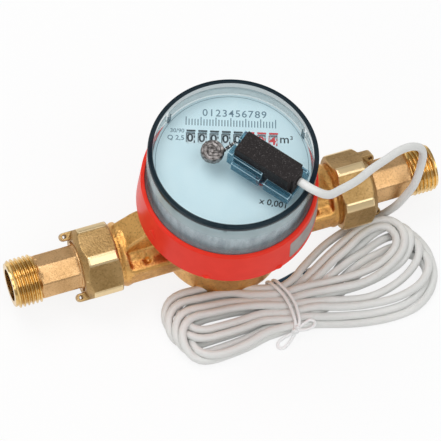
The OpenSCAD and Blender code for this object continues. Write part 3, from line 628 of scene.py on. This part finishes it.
def cover_colour(start):
    """Pale grey at the foot, partly painted light; a painted grey reflection over the dial; and painted
    shade: blue-black ribs and a near-black rim.
    """
    rim, dial_wall_reflection, rib_shade = cover_zones(start)
    # Painted reflection: the wall over the dial is painted grey.
    colour = dial_wall_reflection.tint((0.62, 0.70, 0.74), (0.40, 0.50, 0.52))
    # Painted shade: blue-black ribs and a near-black rim, for the light lost inside the plastic.
    return rim.tint(rib_shade.tint(colour, (0.03, 0.10, 0.14)), (0.006, 0.016, 0.024))


cover_clear = clear("cover_clear", (0.955, 0.985, 0.99), cover_haze, cover_colour, rough=0.08, shine=0.15)
dress(cover_clear, "clear_cover")


# The pulse sensor: a black potted block in a clear steel-blue cradle that is moulded on the window. A lead
# seal with twisted wire keeps it from being pulled off.
def bright_edges(start):
    """The mask of the cradle's edges, where highlights are painted."""
    return start.node("NewGeometry", out="Pointiness").step(0.515, 0.56)


def cradle_haze(start):
    """How much of its own colour the cradle shows, more at the edges for their painted highlights."""
    # Painted highlight: the edges show more of their pale colour.
    return bright_edges(start) * 0.5 + 0.36


def cradle_colour(start):
    """Deep blue in the walls, with painted highlights pale at the edges."""
    # Painted highlight: the edges are pale blue, the walls deep blue.
    return bright_edges(start).tint((0.06, 0.17, 0.24), (0.55, 0.79, 0.90))


cradle_blue = clear("cradle_blue", (0.60, 0.79, 0.87), cradle_haze, cradle_colour, rough=0.12, shine=0.5)
sensor_black, start = new_finish("sensor_black")
grain = noise(start, 1500, 2)
sparkle = noise(start, 2300, 1).step(0.64, 0.76)
show(start, start.node("BsdfPrincipled", {}, {
    "Base Color": sparkle.tint(grain.step(0.5, 0.8).tint((0.016, 0.013, 0.013), (0.040, 0.034, 0.034)),
                               (0.16, 0.15, 0.15)),
    "Roughness": 0.45 + 0.25 * grain, "Specular IOR Level": 0.2,
    "Normal": start.node("Bump", {}, {"Strength": 0.4, "Distance": 0.2 * mm, "Height": grain})}))
finished("cradle", copied("sensor_cradle"), "register", cradle_blue, ("sensor_cradle",),
         voxel=0.25 * mm, rounds=1)
finished("sensor", copied("pulse_sensor"), "register", sensor_black, ("pulse_sensor",),
         voxel=0.25 * mm, rounds=2)

seal_low, seal_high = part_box("lead_seal")
seal_mid = (seal_low + seal_high) / 2
seal_r, seal_t = (seal_high.x - seal_low.x) / 2, seal_high.z - seal_low.z
swirl_pitch, swirl_depth, dent_depth = 1.6 * mm, 0.18 * mm, 0.08 * mm
lead_grey, start = new_finish("lead_grey")
scuff = noise(start, 700, 4)
show(start, start.node("BsdfPrincipled", {}, {
    "Base Color": scuff.step(0.38, 0.66).tint((0.11, 0.10, 0.095), (0.44, 0.41, 0.40)), "Metallic": 1.0,
    "Roughness": 0.30 + 0.3 * scuff,
    "Normal": start.node("Bump", {}, {"Strength": 0.6, "Distance": 0.4 * mm, "Height": scuff})}))
bm = bmesh.new()
outline = [(0.001, 0.0), (0.55, 0.0), (0.86, 0.02), (0.97, 0.16), (1.0, 0.5), (0.97, 0.82), (0.90, 0.96)]
outline += [(0.90 - 0.0445 * k, 0.97) for k in range(1, 21)]
line = [bm.verts.new((seal_r * r, 0, seal_t * (z - 0.5))) for r, z in outline]
chain = [bm.edges.new(pair) for pair in zip(line, line[1:])]
bmesh.ops.spin(bm, geom=line + chain, cent=(0, 0, 0), axis=(0, 0, 1), dvec=(0, 0, 0), angle=2 * pi, steps=72,
               use_merge=True)
bmesh.ops.remove_doubles(bm, verts=bm.verts, dist=0.02 * mm)
for v in bm.verts:
    r = hypot(v.co.x, v.co.y)
    if v.co.z > 0.4 * seal_t:
        round_about = Vector((v.co.x, v.co.y + 1e-9)).angle_signed(Vector((1, 0)))
        swirl = sin(2 * pi * r / swirl_pitch - 2 * round_about + 0.8 * sin(3 * round_about))
        v.co.z -= swirl_depth * (1 + swirl) * min(1.0, (seal_r - r) / (0.25 * seal_r))
    dent = sin(3 * v.co.x / mm + 1.0) * sin(2.3 * v.co.y / mm) * dent_depth
    v.co.x, v.co.y = v.co.x * (1 - dent / seal_r), v.co.y * (1 - dent / seal_r)
bmesh.ops.recalc_face_normals(bm, faces=bm.faces)
bmesh.ops.translate(bm, vec=seal_mid, verts=bm.verts)
finished("seal_disc", bm, "register", lead_grey, ("lead_seal",))


def tube(points, radius, sides=12):
    """A round tube along points, as a bmesh."""
    line = bpy.data.curves.new("tube", "CURVE")
    line.dimensions, line.bevel_depth, line.bevel_resolution = "3D", radius, sides // 4
    line.use_fill_caps = True
    run = line.splines.new("POLY")
    run.points.add(len(points) - 1)
    for knot, at in zip(run.points, points):
        knot.co = (*at, 1)
    bm = as_bmesh(bpy.data.objects.new("tube", line))
    bmesh.ops.recalc_face_normals(bm, faces=bm.faces)
    return bm


wire_low, wire_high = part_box("seal_wire")
wire_mid = (wire_low + wire_high) / 2
wire_way = Vector((wire_mid.x - seal_mid.x, wire_mid.y - seal_mid.y, 0)).normalized()
wire_across = Vector((-wire_way.y, wire_way.x, 0))
wire_half = 0.5 * hypot(wire_high.x - wire_low.x, wire_high.y - wire_low.y) - 0.3 * mm
wire_start, wire_end = wire_mid - wire_way * wire_half, Vector((0.9, 2.0, 84.6)) * mm
strand_r, strand_off, strand_turns, strand_steps = 0.40 * mm, 0.42 * mm, 2.6, 48
wire_bright = bare_metal("wire_bright", (0.78, 0.77, 0.75), (0.46, 0.45, 0.44), rough=0.25)
wire_dark = bare_metal("wire_dark", (0.16, 0.155, 0.15), (0.06, 0.06, 0.06), rough=0.4)
for name, phase, finish, stands_for in (("seal_strand_bright", 0, wire_bright, ("seal_wire",)),
                                        ("seal_strand_dark", pi, wire_dark, ())):
    path = []
    for k in range(strand_steps + 1):
        t = k / strand_steps
        swing = phase + 2 * pi * strand_turns * t
        aside = wire_across * cos(swing) + Vector((0, 0, 1)) * sin(swing)
        path.append(wire_start.lerp(wire_end, t) + aside * strand_off)
    finished(name, tube(path, strand_r), "register", finish, stands_for)


# The cable: about 1.95 m of round grey jacket, 3.5 mm thick, from the sensor's gland over the outlet and
# down under the nut to a flat hank of seven turns. The jacket ends in the hank, and one blue conductor
# looks out. The points of its way are in millimetres.
cable_d, cable_r, conductor_r = 3.5, 1.75 * mm, 0.85 * mm
lead_way = [(19.21, -23.75, 86.95), (22.74, -28.6, 86.95), (29, -31, 82.8), (36.5, -28, 78),
            (46, -23.6, 73), (55, -18, 68), (63, -13.8, 64), (71.5, -9.5, 60), (79, -6.8, 55),
            (83.2, -6.4, 51), (85, -7.1, 46), (84.2, -9, 39), (81.3, -12, 30), (77.6, -12.5, 21.5),
            (75, -12.3, 15.5), (72.6, -11, 9.5), (69.8, -9.8, 4.6), (65, -9.6, 2.2),
            (59, -10.2, 2), (53, -11.2, 2), (46, -13.4, 2), (40, -16, 2), (34, -19.6, 2.4),
            (28.4, -23.4, 3.4), (23, -27.4, 4.4)]
tie_x, waist_y, lane = 16, -39, 3.1
low_slot = [(tie_x, -50.4 + lane * j, 1.9) for j in range(8)]
top_slot = [(tie_x, -48.2 + lane * j, 5.0) for j in range(7)]


def left_fold(far_y, near_y, end_x, far_z, near_z):
    """The left end of one turn: from the tie along the far side, round the fold and back."""
    fold_r = (far_y - near_y) / 2
    mid_x, mid_y = end_x + fold_r, (far_y + near_y) / 2
    way = [(4, 0.4 * waist_y + 0.6 * far_y, far_z), (-6, 0.1 * waist_y + 0.9 * far_y, far_z),
           (mid_x + 4, far_y, far_z)]
    for k in range(7):
        turn = radians(90 + 30 * k)
        drop = (1 - cos(pi * k / 6)) / 2
        way.append((mid_x + fold_r * cos(turn), mid_y + fold_r * sin(turn), far_z + (near_z - far_z) * drop))
    return way + [(mid_x + 5, near_y, near_z), (-6, 0.1 * waist_y + 0.9 * near_y, near_z),
                  (4, 0.3 * waist_y + 0.7 * near_y, near_z)]


right_fold = dict(
    A=[(27, -33.4, 6.2), (35.7, -34.4, 7), (48.7, -34.7, 7), (58, -33.4, 7), (64.6, -30.8, 7),
       (70.0, -26.8, 7), (71.6, -21.6, 7), (69.6, -17.0, 7), (64.4, -15.4, 7), (57, -17.4, 7),
       (49.2, -21.8, 7), (41.8, -25.2, 6.6), (34, -29.3, 5.6), (25.2, -32.4, 3.6)],
    B=[(25, -36.8, 5.8), (34, -38.4, 6.6), (51.3, -39.3, 7), (63.9, -35.2, 7), (72.4, -29.2, 7),
       (75, -24, 7), (74.6, -18.6, 7), (71.2, -14.8, 7), (66.5, -13.6, 7), (60.6, -14.2, 6.6),
       (54, -16.1, 6), (46.1, -19.4, 5.6), (37.9, -23.6, 5.2), (29.7, -28, 4.2),
       (22.5, -30.6, 2.8)],
    C=[(26, -39, 2.4), (38.7, -39.4, 3.4), (51.1, -38.8, 4), (63, -36.4, 4), (71.7, -33.1, 4),
       (76.7, -28.4, 4), (78.8, -24, 4), (77.4, -19, 4), (72.4, -16, 3.6), (65.4, -16.4, 3),
       (55, -20.8, 2.2), (46, -25.8, 1.9), (36, -33, 1.9), (26, -40.2, 1.9)],
    D=[(24, -40.2, 4.9), (37.1, -43.2, 4.4), (51.7, -45.2, 4), (63.5, -43, 4), (73.2, -38.4, 4),
       (78.7, -33, 4), (80.0, -27.2, 4), (77.4, -21.8, 2.6), (71.4, -19.6, 1.9), (64.6, -20.6, 1.9),
       (58, -23, 1.9), (50, -25.5, 1.9), (42.5, -29, 1.9), (35, -32.6, 1.9), (27, -35.6, 1.9)],
    E=[(24, -43.2, 4.9), (34, -45.9, 4.9), (47.7, -48.6, 5), (63.1, -49.2, 5), (74.6, -45.7, 5),
       (80.6, -38.9, 5), (81, -31.2, 4.4), (76.6, -26, 2.4), (70, -24.6, 1.9), (64, -25.6, 1.9),
       (57, -26.8, 1.9), (50, -29.2, 1.9), (43, -32.6, 1.9), (35, -38.4, 1.9), (27, -44.6, 1.9)],
    F=[(24, -46.4, 4.6), (36, -49.6, 3.6), (53, -52.6, 3), (66.6, -52.1, 3), (75.8, -47.4, 2.6),
       (80.6, -40.6, 2.2), (79.6, -33.6, 1.9), (74.4, -29.2, 1.9), (68, -28.2, 1.9),
       (62, -29.2, 1.9), (56, -30.6, 1.9), (50, -33, 1.9), (44, -36.4, 2.4), (37, -41, 3.4),
       (28, -45.6, 4.8)],
    G=[(23, -49.2, 4.2), (31, -50.9, 2.6), (42, -54, 2), (56.5, -56, 1.9), (68.4, -54.8, 1.9),
       (76, -50, 1.9), (80.4, -43.4, 1.9), (82.2, -35.4, 1.9), (81.2, -27, 1.9), (77, -19.6, 1.9),
       (70, -15.2, 1.9), (62, -15, 1.9), (53, -18.2, 1.9), (45, -21.6, 1.9), (37, -24.8, 1.9),
       (30, -26.6, 1.9)])
turns = [(top_slot[6], left_fold(-20.2, -38.6, -35.2, 6, 2), low_slot[4], "C"),
         (low_slot[3], left_fold(-24.6, -43.0, -34.6, 5.8, 2)[::-1], top_slot[5], "A"),
         (low_slot[6], left_fold(-25.2, -43.6, -30.6, 2, 5.6), top_slot[1], "F"),
         (low_slot[2], left_fold(-29.2, -47.6, -33.0, 5.8, 2)[::-1], top_slot[4], "B"),
         (low_slot[7], left_fold(-21.6, -40.0, -30.4, 2, 5.6), top_slot[2], "E"),
         (low_slot[1], left_fold(-33.0, -51.4, -31.8, 6, 2)[::-1], top_slot[3], "D"),
         (low_slot[5], left_fold(-33.2, -51.6, -29.0, 2, 5.0), top_slot[0], "G")]
knots, held = list(lead_way), [True] * (len(lead_way) - 3) + [False] * 3
for arrive, fold, leave, lobe in turns:
    knots += [arrive] + fold + [leave] + right_fold[lobe]
    held += [True] + [False] * len(fold) + [True] + [False] * len(right_fold[lobe])


def smooth_run(knots, gap, held=None):
    """Even points on a centripetal curve through the knots, and which of them are held in place."""
    points = [Vector(p) for p in knots]
    held = held or [False] * len(points)
    points = [points[0] * 2 - points[1]] + points + [points[-1] * 2 - points[-2]]
    out, firm = [], []
    for k in range(len(points) - 3):
        a, b, c, d = points[k:k + 4]
        t1 = sqrt((b - a).length)
        t2 = t1 + sqrt((c - b).length)
        t3 = t2 + sqrt((d - c).length)
        count = max(1, round((c - b).length / gap))
        for j in range(count):
            t = t1 + (t2 - t1) * j / count
            p, q, r = a.lerp(b, t / t1), b.lerp(c, (t - t1) / (t2 - t1)), c.lerp(d, (t - t2) / (t3 - t2))
            p, q = p.lerp(q, t / t2), q.lerp(r, (t - t1) / (t3 - t1))
            out.append(p.lerp(q, (t - t1) / (t2 - t1)))
            firm.append(held[k] and (held[k + 1] or j == 0))
    return out + [points[-2]], firm + [False]


def settled(points, firm, thick, rounds):
    """Lets the turns push each other apart, mostly upwards, as a bundle does; firm points stay."""
    near_points, give, evenness, pull_home = 7, (0.2, 0.2, 0.4), 0.45, 0.01
    home = np.array(points)
    at = home.copy()
    free = 1.0 - np.array(firm, float)[:, None]
    index = np.arange(len(at))
    same_stretch = np.abs(index[:, None] - index[None, :]) < near_points
    for _ in range(rounds):
        gap = at[:, None, :] - at[None, :, :]
        far = np.sqrt((gap ** 2).sum(2)) + 1e-9
        deep = np.where(same_stretch, 0.0, np.maximum(0.0, thick - far))
        push = (gap * (deep / far)[:, :, None]).sum(1) * give
        moved = at - home
        even = np.zeros_like(at)
        even[1:-1] = (moved[:-2] + moved[2:]) / 2 - moved[1:-1]
        at = at + free * (push + evenness * even - pull_home * moved)
        at[:, 2] = np.maximum(at[:, 2], thick / 2)
    return at


coarse_gap, fine_gap = 2.4, 1.7
run = settled(*smooth_run(knots, coarse_gap, held), thick=cable_d, rounds=250)
run = [p * mm for p in smooth_run(run, fine_gap)[0]]
cable_length = sum((b - a).length for a, b in zip(run, run[1:]))
jacket, start = new_finish("jacket_grey")
cloud = noise(start, 60).step(0.35, 0.7)
dirt = noise(start, 350, 4).step(0.62, 0.80) * 0.2
show(start, start.node("BsdfPrincipled", {}, {
    "Base Color": dirt.tint(cloud.tint((0.75, 0.755, 0.735), (0.80, 0.805, 0.785)), (0.50, 0.49, 0.45)),
    "Roughness": 0.42 + 0.12 * cloud,
    "Normal": start.node("Bump", {}, {
        "Strength": 0.15, "Distance": 0.2 * mm, "Height": noise(start, 900, 2)})}))
cable = finished("cable", tube(run, cable_r, 16), None, jacket, ("cable_lead", "cable_hank"))
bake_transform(cable)
blue = moulded("conductor_blue", (0.020, 0.11, 0.22), (0.014, 0.085, 0.17), rough=0.4)
conductor_way, _ = smooth_run([run[-1] / mm, (29.4, -24.4, 0.9), (27.4, -22.9, 0.9), (25.2, -23.4, 1.0),
                               (20.7, -24.6, 1.2), (16.1, -25.5, 1.3), (9, -27.4, 0.9)], 0.8)
conductor = finished("conductor", tube([p * mm for p in conductor_way], conductor_r), "root", blue)


# The tie: a white plastic-covered wire passed twice over the hank and twisted to a knot in front of it, with
# its ends bent back to two small loops.
tie_white = moulded("tie_white", (0.97, 0.97, 0.97), (0.93, 0.94, 0.94), rough=0.35, grain=1500,
                    depth=0.1 * mm)
tie_r, tie_gap = 0.7 * mm, 0.6
knot = Vector((15.2, -50.9, 4.6))
ways = []
for shift in (-1.3, 1.2):
    ways.append([(13.6 + shift, -25.2, 0.9), (13.2 + shift, -24.8, 2.6), (13.6 + shift, -26.4, 6.2),
                 (14.6 + shift, -29.6, 8.0), (16.4 + shift, -34, 8.2), (17.4 + shift, -39, 8.2),
                 (17.4 + 0.9 * shift, -44, 8.1), (16.8 + 0.7 * shift, -48.4, 7.6),
                 (15.8 + 0.3 * shift, -50.4, 6.2), knot])
ways.append([knot + Vector((1.1 * cos(0.6 * k), 0.8 * sin(0.6 * k), 0.9 * sin(1.2 * k) + 0.09 * k))
             for k in range(24)])
ways.append([knot + Vector(p) for p in ((0, 0, 0.8), (2.4, -1.2, 2.0), (5.2, -1.6, 2.4), (8.0, -0.8, 2.2),
                                        (8.8, 0.8, 2.2), (7.2, 2.0, 2.6), (4.0, 1.3, 2.2), (0.6, 0.4, 1.0))])
ways.append([knot + Vector(p) for p in ((0, 0, 0), (-2.4, -0.2, -1.0), (-5.4, -0.4, -2.6),
                                        (-8.0, -1.4, -3.6), (-8.6, -3.4, -3.8), (-6.4, -4.2, -3.8),
                                        (-2.8, -2.4, -2.6), (-0.2, -0.4, -0.8))])
parts = [tube([p * mm for p in smooth_run(way, tie_gap)[0]], tie_r) for way in ways]
tie = finished("tie_wire", joined(*parts), "root", tie_white, ("cable_tie",))
